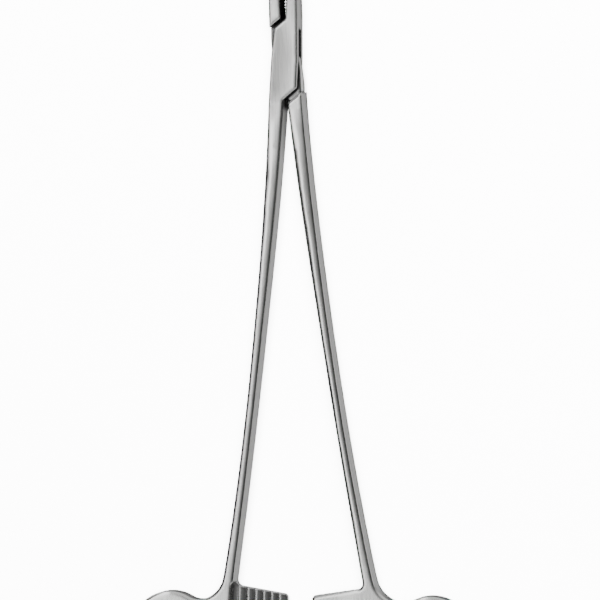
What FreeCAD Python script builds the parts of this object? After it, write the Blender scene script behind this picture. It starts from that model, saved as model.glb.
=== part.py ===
import FreeCAD, Part
import Sketcher
import math
import os

from FreeCAD import Vector, Placement, Rotation

# Right-angle forceps with a box lock. Millimetres, +Z up.
# The instrument lies on its back: X runs across it, +Y points to the jaws and
# the origin is where the axis of the lock meets the surface that it lies on.
# Both arms are shaped in the closed pose and then opened by equal angles.

doc = FreeCAD.newDocument("right_angle_forceps")
sheet = doc.addObject("Spreadsheet::Sheet", "sizes")

SIZES = [
    # Whole instrument
    ("thickness", 4.45),
    ("rest_half_opening", 2.25),
    ("edge_round", 0.35),
    ("ring_round", 0.8),
    ("tool_span", 21.0),
    ("tool_lift", 0.1),
    # Box of the lock, seen from the front
    ("box_half_width", 3.5),
    ("box_corner_set", 2.75),
    ("box_foot_set", 3.3),
    ("box_bevel_reach", 7.6),
    ("box_bevel_angle", 40.0),
    ("slot_height", 1.5),
    ("slot_reach", 0.3),
    # Tongue of the male arm
    ("tongue_play", 0.05),
    ("tongue_swell", 3.62),
    ("tongue_shank_set", 3.97),
    ("shoulder_angle", 33.3),
    ("jaw_shoulder_reach", 8.78),
    ("shank_shoulder_reach", 9.3),
    ("flank_swing", 52.0),
    # Pin
    ("pin_radius", 1.5),
    ("pin_play", 0.05),
    # Shank: distance from the pivot, centre line and width at five stations.
    # Its front and back are crowned by a share of its width, which fades at its
    # ends, and its rim grows rounder from the box to the ring.
    ("shank_start", 1.6),
    ("shank_steps", 12),
    ("shank_crown", 0.1),
    ("shank_crown_fade", 4.0),
    ("neck_distance", 10.0),
    ("neck_offset", 2.08),
    ("neck_width", 3.85),
    ("upper_distance", 24.0),
    ("upper_offset", 2.71),
    ("upper_width", 3.56),
    ("middle_distance", 60.0),
    ("middle_offset", 5.44),
    ("middle_width", 2.62),
    ("lower_distance", 100.0),
    ("lower_offset", 9.47),
    ("lower_width", 2.34),
    ("grip_distance", 128.0),
    ("grip_offset", 13.06),
    ("grip_width", 2.86),
    # Finger ring and the saddle beside it, measured from the shank at the grip
    ("ring_half_width", 13.2),
    ("ring_half_length", 17.6),
    ("ring_end_radius", 11.0),
    ("ring_lean", 13.0),
    ("ring_centre_set", 14.5),
    ("ring_centre_drop", 24.5),
    ("ring_band", 3.7),
    ("ring_inner_round", 1.5),
    ("saddle_set", 6.74),
    ("saddle_drop", 8.4),
    ("flare_set", 3.24),
    ("flare_drop", 5.8),
    # Ratchet: its tongue starts below the grip, its recess above the tongue
    ("catch_tip_reach", 1.6),
    ("catch_top_drop", 6.1),
    ("catch_height", 6.4),
    ("catch_slope", 6.5),
    ("catch_corner", 0.6),
    ("catch_root_round", 1.6),
    ("catch_play", 0.1),
    ("catch_recess_set", 0.3),
    ("catch_recess_top", 2.4),
    ("catch_recess_tail", 2.1),
    ("catch_recess_spread", 0.6),
    ("catch_recess_corner", 1.2),
    ("tooth_start", 1.49),
    ("tooth_pitch", 2.15),
    ("tooth_depth", 1.0),
    ("tooth_count", 6),
    ("heel_rise", 0.3),
    # Jaw
    ("jaw_start", 0.23),
    ("jaw_root_run", 1.0),
    ("jaw_straight", 31.4),
    ("jaw_bend_radius", 10.0),
    ("jaw_bend_steps", 6),
    ("jaw_tip_length", 4.2),
    ("jaw_root_gap", 0.2),
    ("jaw_tip_gap", 0.03),
    ("jaw_root_outer", 3.35),
    ("jaw_tip_outer", 1.45),
    ("jaw_tip_thickness", 2.1),
    ("jaw_tip_round", 0.85),
    ("jaw_edge_bevel", 0.15),
    ("jaw_nose_round", 0.45),
    ("jaw_nose_turn", 72.0),
    ("jaw_nose_steps", 2),
    ("groove_pitch", 0.75),
    ("groove_width", 0.6),
    ("groove_depth", 0.28),
]

for row, (alias, value) in enumerate(SIZES, start=1):
    sheet.set("A%d" % row, alias.replace("_", " "))
    sheet.set("B%d" % row, str(value))
    sheet.setAlias("B%d" % row, alias)
doc.recompute()

# Points closer than this are one point, and faces closer than that are one face
TOLERANCE = 1e-6
JOIN_TOLERANCE = 0.005


def size(alias):
    return float(getattr(sheet, alias))


def cosd(angle):
    return math.cos(math.radians(angle))


def sind(angle):
    return math.sin(math.radians(angle))


def arc_from(start, heading, end):
    """Arc that leaves start along heading and arrives at end."""
    chord = end - start
    along = Vector(chord).normalize()
    rise = heading - along * heading.dot(along)
    if rise.Length < TOLERANCE:
        return Part.LineSegment(start, end).toShape(), heading
    turn = along.getAngle(heading)
    middle = (start + end) / 2 + rise.normalize() * (chord.Length / 2 * math.tan(turn / 2))
    return Part.Arc(start, middle, end).toShape(), along * (2 * heading.dot(along)) - heading


def arc_joint(start, leaving, end, arriving):
    """Point where two arcs meet smoothly that join start to end."""
    chord = end - start
    both = leaving + arriving
    bend = 2 * (1 - leaving.dot(arriving))
    if bend < TOLERANCE:
        return (start + end) / 2
    root = math.sqrt(chord.dot(both) ** 2 + bend * chord.dot(chord))
    reach = (root - chord.dot(both)) / bend
    return (start + end + (leaving - arriving) * reach) / 2


def arc_chain(points, first=None, last=None):
    """Smooth run of arcs through the points, two arcs to each stretch."""
    chords = [end - start for start, end in zip(points[:-1], points[1:])]
    headings = [first or chords[0]]
    for before, after in zip(chords[:-1], chords[1:]):
        headings.append(before / before.Length ** 2 + after / after.Length ** 2)
    headings.append(last or chords[-1])
    headings = [Vector(heading).normalize() for heading in headings]
    edges = []
    for index, (start, end) in enumerate(zip(points[:-1], points[1:])):
        joint = arc_joint(start, headings[index], end, headings[index + 1])
        edge, heading = arc_from(start, headings[index], joint)
        edges += [edge, arc_from(joint, heading, end)[0]]
    return edges


def polyline(points):
    return [Part.LineSegment(a, b).toShape() for a, b in zip(points[:-1], points[1:])]


# Outline of an arm in plan. It is drawn with the shank on the +X side and the
# jaw on the -X side, and mirrored for the female arm.

STATIONS = ["neck", "upper", "middle", "lower", "grip"]


def station(name, side):
    half = side * size(name + "_width") / 2
    return Vector(size(name + "_offset") + half, -size(name + "_distance"), 0)


def grip_point(name):
    """Point that is measured outwards and downwards from the shank at the grip."""
    across = size("grip_offset") + size(name + "_set")
    return Vector(across, -size("grip_distance") - size(name + "_drop"), 0)


def ring_oval(inset, first=None, last=None):
    """Four arcs of the finger ring, drawn in by inset from its outer outline.

    They run clockwise from the upper left. The first and the last arc can be
    cut short at a given outward direction.
    """
    lean = -size("ring_lean")
    up = Vector(-sind(lean), cosd(lean), 0)
    across = Vector(cosd(lean), sind(lean), 0)
    end = size("ring_end_radius")
    half = size("ring_half_width")
    rise = size("ring_half_length") - end
    side = (rise ** 2 + half ** 2 - end ** 2) / (2 * (half - end))
    high = up * rise
    wide = across * (side - half)
    arcs = [
        (high, end, first or high - wide, high + wide),
        (-wide, side, high + wide, wide - high),
        (-high, end, wide - high, -high - wide),
        (wide, side, -high - wide, last or high - wide),
    ]
    edges = []
    for offset, radius, leaving, arriving in arcs:
        leaving = Vector(leaving).normalize()
        arriving = Vector(arriving).normalize()
        middle = (leaving + arriving).normalize()
        centre = grip_point("ring_centre") + offset
        points = [centre + way * (radius - inset) for way in (leaving, middle, arriving)]
        edges.append(Part.Arc(*points).toShape())
    return edges


def ring_outline():
    """Outer side of the ring, from its top round the far side to its near side."""
    return ring_oval(0, Vector(0, 1, 0), Vector(-1, 0, 0))


def side_curve(side):
    curve = Part.BSplineCurve()
    curve.interpolate([station(name, side) for name in STATIONS])
    return curve


def side_point(curve, distance):
    """Point of a side of the shank at a distance below the pivot."""
    low, high = curve.FirstParameter, curve.LastParameter
    while high - low > TOLERANCE ** 2:
        middle = (low + high) / 2
        if curve.value(middle).y > -distance:
            low = middle
        else:
            high = middle
    return Vector(curve.value(low).x, -distance, 0), curve.tangent(low)[0]


def closed_face(edges):
    ordered = Part.sortEdges(edges)
    if len(ordered) != 1:
        raise RuntimeError("the outline isn't closed")
    return Part.Face(Part.Wire(ordered[0]))


def bevel_height(across):
    """Height at which the bevelled end of the box crosses a line X = across."""
    angle = size("box_bevel_angle")
    return (size("box_bevel_reach") - sind(angle) * across) / cosd(angle)


def shoulder_height(across, reach):
    angle = size("shoulder_angle")
    return (reach - sind(angle) * across) / cosd(angle)


def jaw_root():
    """Height at which both jaws have left the box and their taper begins."""
    gap = size("jaw_root_gap")
    plate = bevel_height(-gap)
    shoulder = shoulder_height(gap, size("jaw_shoulder_reach"))
    return max(plate, shoulder) + size("jaw_start")


def jaw_corner(drop):
    """Outer corner of the jaw's root, or the point at a drop below it."""
    return Vector(-size("jaw_root_outer"), jaw_root() - drop, 0)


def shank_top():
    """Distance below the pivot at which the crowned shank takes over."""
    return shoulder_height(size("jaw_root_gap"), size("shank_shoulder_reach")) + size("shank_start")


def shank_joint(side):
    """Corner of the box part where it meets the shank, and the shank's heading."""
    return side_point(side_curve(side), shank_top())


def female_outline():
    half = size("box_half_width")
    gap = size("jaw_root_gap")
    corner = size("box_corner_set")
    foot = size("box_foot_set")
    top = [
        jaw_corner(0),
        Vector(-gap, jaw_root(), 0),
        Vector(-gap, bevel_height(-gap), 0),
        Vector(corner, bevel_height(corner), 0),
        Vector(half, 0, 0),
    ]
    crotch = Vector(gap, -bevel_height(-gap), 0)
    side = [
        crotch,
        Vector(-foot, -bevel_height(foot), 0),
        Vector(-half, 0, 0),
        jaw_corner(size("jaw_root_run")),
        top[0],
    ]
    corner, heading = shank_joint(1)
    flank = arc_chain([top[-1], corner], last=heading)
    foot = polyline([corner, shank_joint(-1)[0], crotch])
    return closed_face(polyline(top) + flank + foot + polyline(side))


def male_outline():
    half = size("box_half_width")
    gap = size("jaw_root_gap")
    swell = size("tongue_swell")
    root = Vector(-gap, shoulder_height(gap, size("jaw_shoulder_reach")), 0)
    top = [
        jaw_corner(0),
        Vector(-gap, jaw_root(), 0),
        root,
        Vector(half, 0, 0),
    ]
    bulge = Vector(size("tongue_shank_set"), -size("neck_distance") / 2, 0)
    crotch = Vector(gap, -shoulder_height(gap, size("shank_shoulder_reach")), 0)
    side = [
        crotch,
        Vector(-half, 0, 0),
        Vector(-swell, jaw_root() / 2, 0),
        jaw_corner(size("jaw_root_run")),
        top[0],
    ]
    corner, heading = shank_joint(1)
    flank = arc_chain([top[-1], bulge, corner], last=heading)
    foot = polyline([corner, shank_joint(-1)[0], crotch])
    return closed_face(polyline(top) + flank + foot + polyline(side))


def ring_part_outline():
    """Foot of the shank, the saddle and the finger ring."""
    outer, outer_heading = side_point(side_curve(1), size("grip_distance"))
    inner, inner_heading = side_point(side_curve(-1), size("grip_distance"))
    ring = ring_outline()
    top = ring[0].valueAt(ring[0].FirstParameter)
    near = ring[-1].valueAt(ring[-1].LastParameter)
    saddle = [outer, grip_point("flare"), grip_point("saddle"), top]
    edges = arc_chain(saddle, outer_heading, Vector(1, 0, 0)) + ring
    edges += arc_chain([near, inner], Vector(0, 1, 0), -inner_heading)
    return closed_face(edges + polyline([inner, outer]))


def shank_centre(distance):
    """Offset of the shank's centre line at a distance below the pivot."""
    upper = [name for name in STATIONS[:-1] if size(name + "_distance") <= distance][-1]
    lower = STATIONS[STATIONS.index(upper) + 1]
    start = size(upper + "_distance")
    share = (distance - start) / (size(lower + "_distance") - start)
    offset = size(upper + "_offset")
    return offset + (size(lower + "_offset") - offset) * share


def catch_top():
    """Height of the top of the ratchet tongue on the middle line."""
    return -size("grip_distance") - size("catch_top_drop")


def catch_sides(across):
    """Heights of the upper and the lower side of the tongue at X = across."""
    rise = math.tan(math.radians(size("catch_slope"))) * across
    return catch_top() + rise, catch_top() - size("catch_height") - rise


def catch_outline():
    """Ratchet tongue in plan, from inside the shank to beyond the middle."""
    tip = -size("catch_tip_reach")
    corner = size("catch_corner")
    root = shank_centre(size("catch_height") / 2 - catch_top())
    points = [
        Vector(root, catch_sides(root)[0], 0),
        Vector(tip + corner, catch_sides(tip + corner)[0], 0),
        Vector(tip, catch_sides(tip)[0] - corner, 0),
        Vector(tip, catch_sides(tip)[1] + corner, 0),
        Vector(tip + corner, catch_sides(tip + corner)[1], 0),
        Vector(root, catch_sides(root)[1], 0),
    ]
    return Part.Face(Part.makePolygon(points + [points[0]]))


def is_upright(edge):
    ends = edge.Vertexes
    if len(ends) != 2:
        return False
    across = ends[0].Point - ends[1].Point
    plumb = abs(across.x) + abs(across.y) < TOLERANCE
    return plumb and abs(across.z) > size("thickness") / 2


def root_edges(body):
    """Upright edges where the ratchet tongue leaves the shank."""
    found = []
    for edge in body.Edges:
        point = edge.Vertexes[0].Point
        on_side = min(abs(point.y - side) for side in catch_sides(point.x)) < TOLERANCE
        if is_upright(edge) and on_side and point.x > 0:
            found.append(edge)
    return found


def rim_edges(body, keep):
    """Edges of the front and back faces that keep accepts."""
    found = []
    for edge in body.Edges:
        box = edge.BoundBox
        flat = box.ZLength < TOLERANCE
        low = abs(box.ZMin) < TOLERANCE
        high = abs(box.ZMin - size("thickness")) < TOLERANCE
        on_face = low or high
        if flat and on_face and keep(edge):
            found.append(edge)
    return found


def round_rim(body, radius, open_ends):
    """Round the front and back edges, but not where another part carries on."""

    def keep(edge):
        across = edge.BoundBox.YLength < TOLERANCE
        height = edge.CenterOfMass.y
        return not (across and min(abs(height - end) for end in open_ends) < TOLERANCE)

    return body.makeFillet(radius, rim_edges(body, keep))


def head_part(outline):
    """Box or tongue, from the jaw's root to the top of the shank."""
    body = outline.extrude(Vector(0, 0, size("thickness")))
    return round_rim(body, size("edge_round"), [jaw_root(), -shank_top()])


def ring_part():
    """Foot of the shank with the ratchet tongue and the finger ring."""
    up = Vector(0, 0, size("thickness"))
    body = ring_part_outline().extrude(up).fuse(catch_outline().extrude(up)).removeSplitter()
    body = body.makeFillet(size("catch_root_round"), root_edges(body))
    body = round_rim(body, size("ring_round"), [-size("grip_distance")])
    body = body.cut(closed_face(ring_oval(size("ring_band"))).extrude(up))

    def is_hole(edge):
        place = edge.firstVertex().Point
        place.z = 0
        return (place - grip_point("ring_centre")).Length < size("ring_half_width")

    return body.makeFillet(size("ring_inner_round"), rim_edges(body, is_hole))


def flank():
    """Room that the male arm fills at full thickness, beside the box's lower end.

    Its upper end slants so that it clears the box when the arms swing wide open.
    """
    half = size("box_half_width")
    foot = size("box_foot_set")
    side = half + size("tongue_play")
    reach = size("tool_span")
    drop = side * math.tan(math.radians(size("flank_swing") / 2))
    lean = (half - foot) / bevel_height(foot)
    rise = (reach - side) / math.tan(math.radians(size("flank_swing")))
    points = [
        Vector(side - lean * drop, -drop, 0),
        Vector(side - lean * reach, -reach, 0),
        Vector(reach, -reach, 0),
        Vector(reach, rise - drop, 0),
    ]
    face = Part.Face(Part.makePolygon(points + [points[0]]))
    return face.extrude(Vector(0, 0, size("thickness") * 2))


# Shank: crowned front and back between flat sides

def crown_arcs(half, rise, small):
    """Front of a section about X = 0: corner, crown, corner, from right to left."""
    top = size("thickness")
    if rise < TOLERANCE:
        corner = Vector(half - small, 0, top - small)
        crest = corner + Vector(0, 0, small)
    else:
        large = (half ** 2 + rise ** 2) / (2 * rise)
        centre = Vector(0, 0, top - large)
        lift = math.sqrt((large - small) ** 2 - (half - small) ** 2)
        corner = centre + Vector(half - small, 0, lift)
        crest = centre + (corner - centre) * (large / (large - small))
    side = corner + Vector(small, 0, 0)
    bisector = (crest - corner + side - corner).normalize()
    right = [side, corner + bisector * small, crest]
    left = [Vector(-point.x, 0, point.z) for point in reversed(right)]
    return [right, [crest, Vector(0, 0, top), left[0]], left]


def shank_section(share):
    """Cross-section at a share of the way from the box to the grip."""
    distance = shank_top() + (size("grip_distance") - shank_top()) * share
    left = side_point(side_curve(-1), distance)[0]
    right = side_point(side_curve(1), distance)[0]
    middle = (left + right) / 2
    half = (right - left).Length / 2
    fade = 1 - abs(2 * share - 1) ** size("shank_crown_fade")
    rise = size("shank_crown") * half * 2 * fade
    rounding = size("ring_round") - size("edge_round")
    front = crown_arcs(half, rise, size("edge_round") + rounding * math.sqrt(share))
    edges = []
    for sign in (1, -1):
        arcs = []
        for arc in front:
            arcs.append([flip_section(point, sign) + middle for point in arc])
        for arc in arcs:
            if rise < TOLERANCE and arc is arcs[1]:
                edges.append(Part.LineSegment(arc[0], arc[2]).toShape())
            else:
                edges.append(Part.Arc(*arc).toShape())
    ends = [edge.valueAt(edge.FirstParameter) for edge in (edges[0], edges[3])]
    ends += [edge.valueAt(edge.LastParameter) for edge in (edges[2], edges[5])]
    left_side = Part.LineSegment(ends[2], ends[1]).toShape()
    right_side = Part.LineSegment(ends[3], ends[0]).toShape()
    return Part.Wire(edges[:3] + [left_side] + edges[3:] + [right_side])


def flip_section(point, sign):
    """The point itself, or the point turned half round the middle of a section."""
    middle = size("thickness") / 2
    return Vector(point.x * sign, 0, middle + (point.z - middle) * sign)


def shank_solid():
    steps = int(size("shank_steps"))
    sections = [shank_section(step / steps) for step in range(steps + 1)]
    return Part.makeLoft(sections, True, False)


# Jaw: straight from the box, then bent through a right angle to the front.

def jaw_length():
    bend = size("jaw_bend_radius") * math.pi / 2
    return size("jaw_straight") + bend + size("jaw_tip_length")


def jaw_frame(distance):
    """Centre of the jaw at a distance along it, its heading and its front."""
    middle = size("thickness") / 2
    radius = size("jaw_bend_radius")
    straight = size("jaw_straight")
    turn = min(max((distance - straight) / radius, 0), math.pi / 2)
    beyond = max(distance - straight - radius * math.pi / 2, 0)
    along = min(distance, straight)
    centre = Vector(
        0,
        jaw_root() + along + radius * math.sin(turn),
        middle + radius * (1 - math.cos(turn)) + beyond,
    )
    heading = Vector(0, math.cos(turn), math.sin(turn))
    front = Vector(0, -math.sin(turn), math.cos(turn))
    return centre, heading, front


def blend(first, last, distance):
    return first + (last - first) * distance / jaw_length()


def jaw_section(distance, inset=0.0):
    """Cross-section: flat grip face, small bevels beside it, rounded back."""
    centre, heading, front = jaw_frame(distance)
    inner = -blend(size("jaw_root_gap"), size("jaw_tip_gap"), distance) - inset / 2
    outer = -blend(size("jaw_root_outer"), size("jaw_tip_outer"), distance) + inset
    half = blend(size("thickness"), size("jaw_tip_thickness"), distance) / 2 - inset
    round_off = blend(size("edge_round"), size("jaw_tip_round"), distance) - inset
    bevel = size("jaw_edge_bevel")
    back = 1 - cosd(45)

    def at(across, rise):
        return centre + Vector(across, 0, 0) + front * rise

    edges = [
        Part.LineSegment(at(inner, -half + bevel), at(inner, half - bevel)).toShape(),
        Part.LineSegment(at(inner, half - bevel), at(inner - bevel, half)).toShape(),
        Part.LineSegment(at(inner - bevel, half), at(outer + round_off, half)).toShape(),
        Part.Arc(
            at(outer + round_off, half),
            at(outer + back * round_off, half - back * round_off),
            at(outer, half - round_off),
        ).toShape(),
        Part.LineSegment(at(outer, half - round_off), at(outer, round_off - half)).toShape(),
        Part.Arc(
            at(outer, round_off - half),
            at(outer + back * round_off, back * round_off - half),
            at(outer + round_off, -half),
        ).toShape(),
        Part.LineSegment(at(outer + round_off, -half), at(inner - bevel, -half)).toShape(),
        Part.LineSegment(at(inner - bevel, -half), at(inner, -half + bevel)).toShape(),
    ]
    return Part.Wire(edges)


def jaw_solid():
    """Straight root, smooth bend, straight tip and a nose that rounds off."""
    straight = size("jaw_straight")
    bend = size("jaw_bend_radius") * math.pi / 2
    steps = int(size("jaw_bend_steps"))
    bent = [jaw_section(straight + bend * step / steps) for step in range(steps + 1)]
    pieces = [
        Part.makeLoft([jaw_section(0), jaw_section(straight)], True, True),
        Part.makeLoft(bent, True, False),
    ]
    last = jaw_section(straight + bend)
    steps = int(size("jaw_nose_steps"))
    for step in range(steps + 1):
        turn = size("jaw_nose_turn") * step / steps
        back = size("jaw_nose_round") * (sind(size("jaw_nose_turn")) - sind(turn))
        inset = size("jaw_nose_round") * (1 - cosd(turn))
        section = jaw_section(jaw_length() - back, inset)
        pieces.append(Part.makeLoft([last, section], True, True))
        last = section
    return pieces[0].fuse(pieces[1:]).removeSplitter()


def groove_tools():
    """Fine grooves across the grip face, from the box to the tip."""
    pitch = size("groove_pitch")
    depth = size("groove_depth")
    half = size("groove_width") / 2
    lift = size("tool_lift")
    wide = half * (depth + lift) / depth
    tools = []
    for index in range(int(jaw_length() / pitch) - 2):
        distance = pitch * (index + 1)
        centre, heading, front = jaw_frame(distance)
        inner = -blend(size("jaw_root_gap"), size("jaw_tip_gap"), distance)
        rise = blend(size("thickness"), size("jaw_tip_thickness"), distance) / 2 + depth
        points = [
            Vector(inner + lift, 0, 0) + centre + heading * wide,
            Vector(inner + lift, 0, 0) + centre - heading * wide,
            Vector(inner - depth, 0, 0) + centre,
        ]
        points = [point - front * rise for point in points]
        face = Part.Face(Part.makePolygon(points + [points[0]]))
        tools.append(face.extrude(front * (2 * rise)))
    return Part.makeCompound(tools)


def recess_end():
    """Where the room in front of the ratchet tongue ends, beside the shank."""
    return size("grip_offset") - size("catch_recess_set")


def tooth_profile():
    """Saw-tooth floor of the recess, closed above the front of the arm.

    Beside the shank it starts with a heel that slopes like a shallow tooth.
    """
    floor = (size("thickness") - size("catch_play")) / 2
    pitch = size("tooth_pitch")
    slope = size("tooth_depth") / pitch
    left = -size("catch_tip_reach") - pitch
    start = recess_end() - size("tooth_start")
    right = size("grip_offset") + size("grip_width")
    heel = size("heel_rise")
    climb = heel * 2 / size("tooth_start")
    points = [
        Vector(right, 0, floor - heel + climb * (right - start)),
        Vector(start, 0, floor - heel),
    ]
    for index in range(int(size("tooth_count")) - 1):
        points.append(Vector(start, 0, floor))
        start -= pitch
        points.append(Vector(start, 0, floor - size("tooth_depth")))
    points.append(Vector(start, 0, floor))
    points.append(Vector(left, 0, floor - slope * (start - left)))
    points.append(Vector(left, 0, size("thickness") * 2))
    points.append(Vector(right, 0, size("thickness") * 2))
    return Part.Face(Part.makePolygon(points + [points[0]]))


def catch_tool():
    """Room in front of the ratchet tongue, with the teeth on its floor."""
    top = catch_top() + size("catch_recess_top")
    foot = catch_top() - size("catch_height") - size("catch_recess_tail")
    right = recess_end()
    left = -size("catch_tip_reach") * 2
    points = [
        Vector(left, top, 0),
        Vector(right, top, 0),
        Vector(right + size("catch_recess_spread"), foot, 0),
        Vector(left, foot, 0),
    ]
    face = Part.Face(Part.makePolygon(points + [points[0]]))
    block = face.extrude(Vector(0, 0, size("thickness") * 2))
    corners = [edge for edge in block.Edges if is_upright(edge) and edge.Vertexes[0].Point.x > 0]
    block = block.makeFillet(size("catch_recess_corner"), corners)
    teeth = tooth_profile().extrude(Vector(0, foot - top, 0))
    teeth.translate(Vector(0, top, 0))
    return block.common(teeth)


def whole_arm(outline):
    parts = [shank_solid(), ring_part(), jaw_solid()]
    return head_part(outline).fuse(parts, JOIN_TOLERANCE).removeSplitter()


def feature(name, shape):
    item = doc.addObject("Part::Feature", name)
    item.Shape = shape
    return item


def mirrored(shape):
    return shape.mirror(Vector(0, 0, 0), Vector(1, 0, 0))


def flipped(shape):
    """Turn a tool for the front of an arm into the same tool for its back."""
    return shape.mirror(Vector(0, 0, size("thickness") / 2), Vector(0, 0, 1))


def turned_box(name, across, lower, upper, bottom, top, turn):
    """Box bound to the sheet, turned about the axis of the lock."""
    box = doc.addObject("Part::Box", name)
    box.setExpression("Length", across)
    box.setExpression("Width", "(%s) + (%s)" % (lower, upper))
    box.setExpression("Height", "(%s) - (%s)" % (top, bottom))
    box.Placement = Placement(Vector(0, 0, 0), Rotation(Vector(0, 0, 1), 1))
    box.setExpression("Placement.Rotation.Angle", "(%s) * 1 deg" % turn)
    swing = "-cos({t}) * ({a}) / 2 + sin({t}) * ({l})".format(t=turn, a=across, l=lower)
    drop = "-sin({t}) * ({a}) / 2 - cos({t}) * ({l})".format(t=turn, a=across, l=lower)
    box.setExpression("Placement.Base.x", swing)
    box.setExpression("Placement.Base.y", drop)
    box.setExpression("Placement.Base.z", bottom)
    return box


def bore(name, radius):
    tool = doc.addObject("Part::Cylinder", name)
    tool.setExpression("Radius", radius)
    tool.setExpression("Height", "sizes.thickness * 2")
    tool.setExpression("Placement.Base.z", "-sizes.thickness / 2")
    return tool


def beside(gap, kept):
    """Step: a gap without the room that stays filled."""
    step = doc.addObject("Part::Cut", gap.Name.replace("gap", "step"))
    step.Base = gap
    step.Tool = kept
    return step


def cut_arm(label, blank, tools, opening):
    joined = doc.addObject("Part::MultiFuse", label + "_tools")
    joined.Shapes = tools
    arm = doc.addObject("Part::Cut", label)
    arm.Label = label
    arm.Base = blank
    arm.Tool = joined
    arm.Placement = Placement(Vector(0, 0, 0), Rotation(Vector(0, 0, 1), 1))
    arm.setExpression("Placement.Rotation.Angle", "%s * 1 deg" % opening)
    return arm


# Female arm: box with its slot, front teeth

female_blank = feature(
    "female_blank", mirrored(whole_arm(female_outline()))
)
slot = turned_box(
    "slot",
    "sizes.tool_span",
    "sizes.box_bevel_reach + sizes.slot_reach",
    "sizes.box_bevel_reach + sizes.slot_reach",
    "(sizes.thickness - sizes.slot_height) / 2",
    "(sizes.thickness + sizes.slot_height) / 2",
    "-sizes.box_bevel_angle",
)
female_arm = cut_arm(
    "female_arm",
    female_blank,
    [
        slot,
        bore("female_bore", "sizes.pin_radius"),
        feature("female_recess", mirrored(catch_tool())),
        feature("female_grooves", mirrored(groove_tools())),
    ],
    "-sizes.rest_half_opening",
)

# Male arm: tongue between two shoulders, back teeth

male_blank = feature("male_blank", whole_arm(male_outline()))
front_gap = turned_box(
    "front_gap",
    "sizes.tool_span",
    "sizes.shank_shoulder_reach",
    "sizes.jaw_shoulder_reach",
    "(sizes.thickness + sizes.slot_height) / 2 - sizes.tongue_play",
    "sizes.thickness * 1.5",
    "sizes.shoulder_angle",
)
back_gap = turned_box(
    "back_gap",
    "sizes.tool_span",
    "sizes.shank_shoulder_reach",
    "sizes.jaw_shoulder_reach",
    "-sizes.thickness / 2",
    "(sizes.thickness - sizes.slot_height) / 2 + sizes.tongue_play",
    "sizes.shoulder_angle",
)
front_step = beside(front_gap, feature("front_flank", flank()))
back_step = beside(back_gap, feature("back_flank", flipped(flank())))
male_arm = cut_arm(
    "male_arm",
    male_blank,
    [
        front_step,
        back_step,
        bore("male_bore", "sizes.pin_radius + sizes.pin_play"),
        feature("male_recess", flipped(catch_tool())),
        feature("male_grooves", groove_tools()),
    ],
    "sizes.rest_half_opening",
)

# Lock pin

lock_pin = doc.addObject("PartDesign::Body", "lock_pin")
lock_pin.Label = "lock_pin"
sketch = lock_pin.newObject("Sketcher::SketchObject", "pin_outline")
plane = [item for item in lock_pin.Origin.OriginFeatures if item.Role == "XY_Plane"][0]
sketch.AttachmentSupport = [(plane, "")]
sketch.MapMode = "FlatFace"
sketch.addGeometry(Part.Circle(Vector(0, 0, 0), Vector(0, 0, 1), size("pin_radius")), False)
sketch.addConstraint(Sketcher.Constraint("Coincident", 0, 3, -1, 1))
sketch.addConstraint(Sketcher.Constraint("Radius", 0, size("pin_radius")))
sketch.setExpression("Constraints[1]", "sizes.pin_radius")
pad = lock_pin.newObject("PartDesign::Pad", "pin_shaft")
pad.Profile = sketch
pad.setExpression("Length", "sizes.thickness")
doc.recompute()

# Checks and export

PIECES = [female_arm, lock_pin, male_arm]
for item in doc.Objects:
    if "Invalid" in item.State or "Error" in item.State:
        raise RuntimeError("%s failed to build: %s" % (item.Name, item.State))
os.makedirs("parts", exist_ok=True)
for piece in PIECES:
    shape = piece.Shape
    if shape.isNull() or not shape.isValid():
        raise RuntimeError("%s has no valid shape" % piece.Label)
    if len(shape.Solids) != 1:
        raise RuntimeError("%s has %d solids" % (piece.Label, len(shape.Solids)))
for piece in PIECES:
    piece.Shape.exportStep("parts/%s.step" % piece.Label)
    box = piece.Shape.BoundBox
    print(piece.Label, round(piece.Shape.Volume, 1), box)
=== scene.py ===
import math

import bpy
from mathutils import Matrix, Vector


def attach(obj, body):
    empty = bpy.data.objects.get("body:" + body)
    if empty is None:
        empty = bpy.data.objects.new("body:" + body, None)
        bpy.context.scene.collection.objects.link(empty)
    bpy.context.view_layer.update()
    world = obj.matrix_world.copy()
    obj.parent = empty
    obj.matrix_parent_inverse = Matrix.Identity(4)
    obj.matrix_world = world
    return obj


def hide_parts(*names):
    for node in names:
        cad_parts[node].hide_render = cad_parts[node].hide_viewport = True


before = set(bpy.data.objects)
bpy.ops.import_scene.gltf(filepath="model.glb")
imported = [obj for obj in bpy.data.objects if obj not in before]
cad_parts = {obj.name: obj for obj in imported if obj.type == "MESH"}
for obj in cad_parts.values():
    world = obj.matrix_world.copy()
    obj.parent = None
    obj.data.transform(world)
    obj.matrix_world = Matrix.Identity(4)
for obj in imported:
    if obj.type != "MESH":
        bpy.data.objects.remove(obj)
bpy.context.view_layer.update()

MM = 0.001


# Camera. It looks down on the instrument, slightly from its right side.

IMAGE_WIDTH = 600
FOCAL_PIXELS = 4000.0
SENSOR_WIDTH = 36.0
CLIP_START = 0.01
CLIP_END = 50
CAMERA_TARGET = Vector((1.885, -60.115, 2.225)) * MM
CAMERA_DISTANCE = 1.0
CAMERA_SIDE = math.radians(20.294)
CAMERA_LIFT = math.radians(3.0)
CAMERA_ROLL = math.radians(-1.437)


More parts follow.
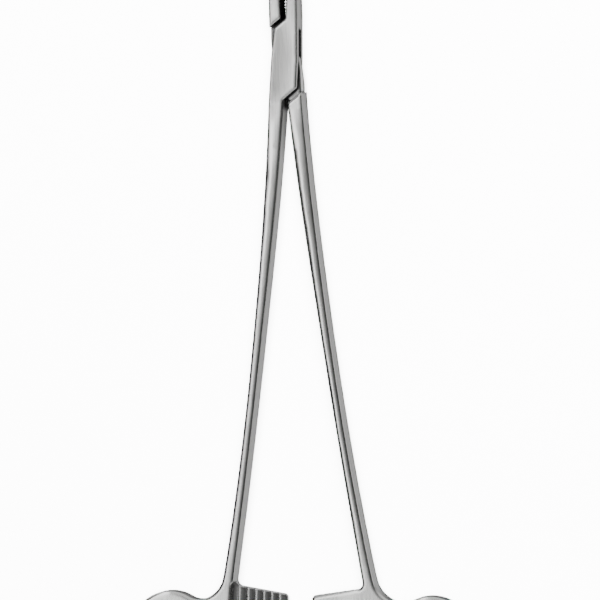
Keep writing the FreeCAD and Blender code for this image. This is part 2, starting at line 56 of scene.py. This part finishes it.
def add_camera():
    back = Vector((
        math.sin(CAMERA_SIDE) * math.cos(CAMERA_LIFT),
        math.sin(CAMERA_LIFT),
        math.cos(CAMERA_SIDE) * math.cos(CAMERA_LIFT),
    ))
    right = Vector((0, 1, 0)).cross(back).normalized()
    up = back.cross(right)
    turned_right = right * math.cos(CAMERA_ROLL) + up * math.sin(CAMERA_ROLL)
    turned_up = up * math.cos(CAMERA_ROLL) - right * math.sin(CAMERA_ROLL)
    axes = Matrix((turned_right, turned_up, back)).transposed()
    place = CAMERA_TARGET + back * CAMERA_DISTANCE
    data = bpy.data.cameras.new("photo_camera")
    data.sensor_width = SENSOR_WIDTH
    data.lens = FOCAL_PIXELS / IMAGE_WIDTH * SENSOR_WIDTH
    data.clip_start = CLIP_START
    data.clip_end = CLIP_END
    camera = bpy.data.objects.new("photo_camera", data)
    camera.matrix_world = Matrix.Translation(place) @ axes.to_4x4()
    bpy.context.scene.collection.objects.link(camera)
    bpy.context.scene.camera = camera


# Node trees

SAMPLES = 8


class Nodes:
    """Short hands for building one node tree."""

    def __init__(self, tree):
        self.tree = tree
        tree.nodes.clear()

    def add(self, kind, inputs=None, **settings):
        node = self.tree.nodes.new(kind)
        for key, value in settings.items():
            setattr(node, key, value)
        for key, value in (inputs or {}).items():
            if isinstance(value, bpy.types.NodeSocket):
                self.tree.links.new(value, node.inputs[key])
            else:
                node.inputs[key].default_value = value
        return node

    def math(self, operation, *values):
        node = self.add("ShaderNodeMath", dict(enumerate(values)), operation=operation)
        return node.outputs["Value"]

    def ramp(self, value, start, end, low=0.0, high=1.0):
        """A value between start and end, taken evenly to low and high and held there beyond."""
        node = self.add("ShaderNodeMapRange", {
            "Value": value, "From Min": start, "From Max": end, "To Min": low, "To Max": high,
        })
        return node.outputs["Result"]

    def noise(self, place, scale, detail):
        node = self.add("ShaderNodeTexNoise", {"Vector": place, "Scale": scale, "Detail": detail})
        return node.outputs["Fac"]

    def split(self, vector):
        return self.add("ShaderNodeSeparateXYZ", {"Vector": vector}).outputs

    def colour(self, *channels):
        node = self.add("ShaderNodeCombineColor", dict(zip(("Red", "Green", "Blue"), channels)))
        return node.outputs["Color"]

    def openness(self, distance):
        """The share of the surroundings that is free within a distance."""
        node = self.add("ShaderNodeAmbientOcclusion", {"Distance": distance}, samples=SAMPLES)
        return node.outputs["AO"]

    def bump(self, height, normal, strength=1.0, distance=1.0):
        node = self.add("ShaderNodeBump", {
            "Height": height, "Strength": strength, "Distance": distance, "Normal": normal,
        })
        return node.outputs["Normal"]

    def mix_normals(self, share, first, last):
        """Sockets 0, 4 and 5 of the node are its share and the two vectors."""
        mix = self.add("ShaderNodeMix", {0: share, 4: first, 5: last}, data_type="VECTOR")
        return mix.outputs[1]


# Steel. Two or four numbers in brackets are a ramp: where the value starts and ends, and
# what these two become, 0 and 1 if nothing is said.

STEEL_COLOUR = (0.66, 0.66, 0.65)
ROUGHNESS = 0.17

BRUSHING_SCALE = (4000.0, 4000.0 / 30, 4000.0)
BRUSHING_DETAIL = 3.0
BRUSHING_TO_ROUGHNESS = (0.3, 0.7, -0.05, 0.05)
BRUSHING_TO_TONE = (0.3, 0.7, 0.93, 1.05)
BRUSHING_STRENGTH = 0.06
BRUSHING_HEIGHT = 0.05 * MM
SMEARS_SCALE = 60.0
SMEARS_DETAIL = 2.0
SMEARS_TO_ROUGHNESS = (0.3, 0.7, ROUGHNESS - 0.03, ROUGHNESS + 0.04)

# Painted shade: the steel's colour and reflection are darkened, most where a place's surroundings
# are no more open than the closed share.
# That share differs from place to place, so the slot, the notches, the jaw gap and the crotch look
# shaded. Y runs along the instrument and is 0 at the pin.
HOLLOW_REACH = 4.0 * MM
CLOSED_ON_END_WALLS = (0.3, 0.6, -0.35, 0.15)
CLOSED_ABOVE_SLOT = (-1.0 * MM, 0.5 * MM, -0.35, 0.15)
CLOSED_BETWEEN_JAWS = (9.0 * MM, 11.0 * MM, 0.0, 0.4)
CLOSED_BY_BOX_ENDS = (9.0 * MM, 12.0 * MM, 0.7, 0.0)
LEVEL_FACES = (0.8, 0.95)
CROTCH_BELOW_PIN = 11.0 * MM
CLOSED_BY_CROTCH = (0.8 * MM, 2.2 * MM, 0.6, 0.0)
CLOSED_AT_MOST = 0.6
OPEN = 0.8
DARKEST_PAINTED_SHADE = 0.16

# Painted shade in creases and tooth valleys: darker where the surroundings within this reach are
# shut in.
CREASE_REACH = 1.2 * MM
CREASE = (0.5, 0.95)
CREASE_ON_WALLS_TO_FACES = (0.2, 0.5, 1.0, 0.05)

EDGE_RADIUS = 1.1 * MM
AWAY_FROM_PIN = (2.6 * MM, 3.3 * MM)

WAVES_SCALE = 110.0
WAVES_DETAIL = 0.0
WAVES_HEIGHT = 0.3 * MM
DISH_MIDDLE = 2.0 * MM
DISH_ON_BOX = (7.0 * MM, 11.0 * MM, 9.0, 0.0)


def painted_hollow_shade(nodes, place, normal):
    """Painted shade that darkens the steel where little light gets in: the slot, the notches and
    the creases.
    """
    along = nodes.split(place)["Y"]
    turned = nodes.split(normal)
    end_walls = nodes.ramp(nodes.math("ABSOLUTE", turned["Y"]), *CLOSED_ON_END_WALLS)
    above_slot = nodes.ramp(along, *CLOSED_ABOVE_SLOT)
    box = nodes.math("MAXIMUM", end_walls, above_slot)
    jaws = nodes.ramp(along, *CLOSED_BETWEEN_JAWS)
    box_ends = nodes.ramp(nodes.math("ABSOLUTE", along), *CLOSED_BY_BOX_ENDS)
    level = nodes.ramp(turned["Z"], *LEVEL_FACES)
    notches = nodes.math("MULTIPLY", box_ends, level)
    off_crotch = nodes.math("ABSOLUTE", nodes.math("ADD", along, CROTCH_BELOW_PIN))
    crotch = nodes.ramp(off_crotch, *CLOSED_BY_CROTCH)
    closed = nodes.math("ADD", nodes.math("ADD", box, jaws), nodes.math("MAXIMUM", notches, crotch))
    closed = nodes.math("MINIMUM", closed, CLOSED_AT_MOST)
    # Painted shade: darker the more the surroundings within the hollow reach are shut in.
    depth = nodes.ramp(nodes.openness(HOLLOW_REACH), closed, OPEN, DARKEST_PAINTED_SHADE, 1.0)
    # Painted shade in creases, strongest on level faces and weak on upright walls.
    darkest_crease = nodes.ramp(turned["Z"], *CREASE_ON_WALLS_TO_FACES)
    creases = nodes.ramp(nodes.openness(CREASE_REACH), *CREASE, darkest_crease, 1.0)
    return nodes.math("MULTIPLY", depth, creases)


def edges(nodes, place, normal):
    """Soft edges all over, apart from the pin's own, which is ground flush."""
    node = nodes.add("ShaderNodeBevel", {"Radius": EDGE_RADIUS}, samples=SAMPLES)
    flat = nodes.add("ShaderNodeVectorMath", {0: place, 1: (1, 1, 0)}, operation="MULTIPLY")
    from_pin = nodes.add("ShaderNodeVectorMath", {0: flat.outputs["Vector"]}, operation="LENGTH")
    away = nodes.ramp(from_pin.outputs["Value"], *AWAY_FROM_PIN)
    return nodes.mix_normals(away, normal, node.outputs["Normal"])


def polish(nodes, place, normal):
    """Slight waves left by the polishing, and faces of the box that are a little dished."""
    parts = nodes.split(place)
    waves = nodes.math("MULTIPLY", nodes.noise(place, WAVES_SCALE, WAVES_DETAIL), WAVES_HEIGHT)
    on_box = nodes.ramp(nodes.math("ABSOLUTE", parts["Y"]), *DISH_ON_BOX)
    aside = nodes.math("SUBTRACT", parts["X"], DISH_MIDDLE)
    dish = nodes.math("MULTIPLY", nodes.math("MULTIPLY", aside, aside), on_box)
    return nodes.bump(nodes.math("ADD", waves, dish), normal)


def brushed_steel(name):
    """Satin steel, brushed lengthwise, with smears, soft edges and painted shade that darkens its
    colour and reflection in the hollows.
    """
    material = bpy.data.materials.new(name)
    material.use_nodes = True
    nodes = Nodes(material.node_tree)
    place = nodes.add("ShaderNodeTexCoord").outputs["Object"]
    normal = nodes.add("ShaderNodeNewGeometry").outputs["Normal"]
    stretched = nodes.add("ShaderNodeMapping", {"Vector": place, "Scale": BRUSHING_SCALE})
    brushing = nodes.noise(stretched.outputs["Vector"], 1.0, BRUSHING_DETAIL)
    smears = nodes.noise(place, SMEARS_SCALE, SMEARS_DETAIL)
    rough = nodes.math(
        "ADD",
        nodes.ramp(brushing, *BRUSHING_TO_ROUGHNESS),
        nodes.ramp(smears, *SMEARS_TO_ROUGHNESS),
    )
    # Painted shade: darkens the colour and the reflection in the slot, notches, jaw gap and
    # creases.
    shade = painted_hollow_shade(nodes, place, normal)
    tone = nodes.math("MULTIPLY", nodes.ramp(brushing, *BRUSHING_TO_TONE), shade)
    polished = polish(nodes, place, edges(nodes, place, normal))
    shader = nodes.add("ShaderNodeBsdfPrincipled", {
        "Base Color": nodes.colour(*(nodes.math("MULTIPLY", tone, part) for part in STEEL_COLOUR)),
        # Specular Tint follows the painted shade and dims the reflections in the hollows.
        "Metallic": 1.0, "Roughness": rough, "Specular Tint": nodes.colour(shade, shade, shade),
        "Normal": nodes.bump(brushing, polished, BRUSHING_STRENGTH, BRUSHING_HEIGHT),
    })
    nodes.add("ShaderNodeOutputMaterial", {"Surface": shader.outputs["BSDF"]})
    return material


def dress(node_name, material):
    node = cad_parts[node_name]
    node.data.materials.clear()
    node.data.materials.append(material)


# Male arm beside the box. Only its tongue stands out there, with a sloping flank, so
# the rest is cut away in front and at the back, down to the shoulders. A slope is given
# by its place at the tongue's front and by the widening towards its back.

REST_HALF_OPENING = math.radians(2.25)
SHOULDER_ANGLE = math.radians(33.3)
SHOULDER_DISTANCE = 9.3 * MM
FLANK_INSIDE = 3.1 * MM
FLANK_OUTSIDE = 6.0 * MM
FLANK_END = 2.0 * MM
TONGUE_BACK = 1.525 * MM
TONGUE_FRONT = 2.925 * MM
SLOPE_AT_SHOULDER = (3.2 * MM, 0.56)
SLOPE_AT_JAWS = (3.5 * MM, 0.42)
CUT_HEIGHT = 3.0 * MM
OVERLAP = 0.1 * MM


def flank_cutter(at_shoulder, at_jaws):
    """Room between two profiles in X and Z, from the male arm's shoulder up to the jaws."""
    def shoulder(across):
        return across * math.tan(SHOULDER_ANGLE) - SHOULDER_DISTANCE / math.cos(SHOULDER_ANGLE)

    turn = Matrix.Rotation(REST_HALF_OPENING, 3, "Z")
    lower = [turn @ Vector((x, shoulder(x), z)) for x, z in at_shoulder]
    upper = [turn @ Vector((x, FLANK_END, z)) for x, z in at_jaws]
    count = len(at_jaws)
    ends = [tuple(range(count)), tuple(reversed(range(count, 2 * count)))]
    sides = [
        ((i + 1) % count, i, i + count, (i + 1) % count + count) for i in range(count)
    ]
    mesh = bpy.data.meshes.new("flank_cutter")
    mesh.from_pydata(lower + upper, [], ends + sides)
    cutter = bpy.data.objects.new("flank_cutter", mesh)
    bpy.context.scene.collection.objects.link(cutter)
    return cutter


def shape_flank():
    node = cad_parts["male_arm"]
    arm = bpy.data.objects.new("male_arm_with_flank", node.data.copy())
    arm.data.transform(node.matrix_world)
    bpy.context.scene.collection.objects.link(arm)
    low = TONGUE_BACK - OVERLAP
    front = [[
        (FLANK_INSIDE, TONGUE_FRONT), (start, TONGUE_FRONT),
        (start + (TONGUE_FRONT - low) * slope, low), (FLANK_OUTSIDE, low),
        (FLANK_OUTSIDE, TONGUE_FRONT + CUT_HEIGHT), (FLANK_INSIDE, TONGUE_FRONT + CUT_HEIGHT),
    ] for start, slope in (SLOPE_AT_SHOULDER, SLOPE_AT_JAWS)]
    back = [
        (FLANK_INSIDE, TONGUE_BACK - CUT_HEIGHT), (FLANK_OUTSIDE, TONGUE_BACK - CUT_HEIGHT),
        (FLANK_OUTSIDE, TONGUE_BACK), (FLANK_INSIDE, TONGUE_BACK),
    ]
    cutters = [flank_cutter(*front), flank_cutter(back, back)]
    for cutter in cutters:
        step = arm.modifiers.new("cut", "BOOLEAN")
        step.operation = "DIFFERENCE"
        step.solver = "EXACT"
        step.object = cutter
    bpy.context.view_layer.update()
    evaluated = arm.evaluated_get(bpy.context.evaluated_depsgraph_get())
    shaped = bpy.data.meshes.new_from_object(evaluated)
    arm.modifiers.clear()
    arm.data = shaped
    for cutter in cutters:
        bpy.data.objects.remove(cutter)
    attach(arm, "male")
    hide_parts("male_arm")


# Floor and light. The fill light isn't seen in the steel, which shows the studio only.

FLOOR_HALF = 3.0
FLOOR_COLOUR = (0.9, 0.9, 0.9, 1)
FLOOR_ROUGHNESS = 0.9
FILL_PLACE = Vector((0.3, 0.6, 1.6))
FILL_TARGET = Vector((0, -0.06, 0))
FILL_SIZE = (2.0, 2.0)
FILL_POWER = 680.0


def add_floor():
    half = FLOOR_HALF
    mesh = bpy.data.meshes.new("floor")
    corners = [(-half, -half, 0), (half, -half, 0), (half, half, 0), (-half, half, 0)]
    mesh.from_pydata(corners, [], [(0, 1, 2, 3)])
    floor = bpy.data.objects.new("floor", mesh)
    bpy.context.scene.collection.objects.link(floor)
    material = bpy.data.materials.new("floor_paint")
    material.use_nodes = True
    nodes = Nodes(material.node_tree)
    shader = nodes.add("ShaderNodeBsdfPrincipled", {
        "Base Color": FLOOR_COLOUR, "Roughness": FLOOR_ROUGHNESS, "Specular IOR Level": 0.0,
    })
    nodes.add("ShaderNodeOutputMaterial", {"Surface": shader.outputs["BSDF"]})
    mesh.materials.append(material)
    floor.visible_glossy = False


def add_fill_light():
    data = bpy.data.lights.new("fill_light", "AREA")
    data.shape = "RECTANGLE"
    data.size, data.size_y = FILL_SIZE
    data.energy = FILL_POWER
    light = bpy.data.objects.new("fill_light", data)
    light.location = FILL_PLACE
    light.rotation_euler = (FILL_TARGET - FILL_PLACE).to_track_quat("-Z", "Y").to_euler()
    light.visible_glossy = False
    bpy.context.scene.collection.objects.link(light)


# Studio around the instrument: long soft boxes and dark gaps, side by side. Each
# is given by its angle from the zenith towards +X, with its brightness. The studio's
# two ends glow faintly, by the share of Y in the direction.

STUDIO = (
    (-180, 0.06), (-130, 0.04), (-100, 0.015), (-70, 0.012), (-40, 0.012), (-36, 0.05),
    (-32.5, 0.35), (-30, 1.0), (-25.5, 1.0), (-23, 0.50), (-20, 0.29), (-14, 0.22),
    (-8, 0.15), (-1.5, 0.10), (8, 0.08), (16, 0.055), (24, 0.04), (34, 0.03), (42, 0.012),
    (94, 0.012), (101, 0.34), (113, 0.34), (123, 0.13), (143, 0.12), (155, 0.16),
    (163, 0.15), (172, 0.10), (180, 0.07),
)
STUDIO_STRENGTH = 4.0
GLOW_OF_ENDS = (0.35, 0.8, 0.0, 0.25)


def add_world():
    world = bpy.data.worlds.new("studio")
    world.use_nodes = True
    bpy.context.scene.world = world
    nodes = Nodes(world.node_tree)
    way = nodes.split(nodes.add("ShaderNodeTexCoord").outputs["Generated"])
    rest = nodes.math("SUBTRACT", 1.0, nodes.math("MULTIPLY", way["X"], way["X"]))
    height = nodes.math("MULTIPLY", nodes.math("SQRT", rest), nodes.math("SIGN", way["Z"]))
    angle = nodes.math("ARCTAN2", way["X"], height)
    boxes = nodes.add("ShaderNodeValToRGB", {"Fac": nodes.ramp(angle, -math.pi, math.pi)})
    elements = boxes.color_ramp.elements
    for _ in range(len(STUDIO) - len(elements)):
        elements.new(0.5)
    for element, (degrees, brightness) in zip(elements, STUDIO):
        element.position = degrees / 360 + 0.5
        element.color = (brightness, brightness, brightness, 1)
    ends = nodes.ramp(nodes.math("ABSOLUTE", way["Y"]), *GLOW_OF_ENDS)
    glow = nodes.math("MAXIMUM", boxes.outputs["Color"], ends)
    sky = nodes.add("ShaderNodeBackground", {"Color": glow, "Strength": STUDIO_STRENGTH})
    nodes.add("ShaderNodeOutputWorld", {"Surface": sky.outputs["Background"]})


arm_steel = brushed_steel("arm_steel")
pin_steel = brushed_steel("pin_steel")
dress("female_arm", arm_steel)
dress("male_arm", arm_steel)
dress("lock_pin", pin_steel)
shape_flank()
add_camera()
add_floor()
add_world()
add_fill_light()
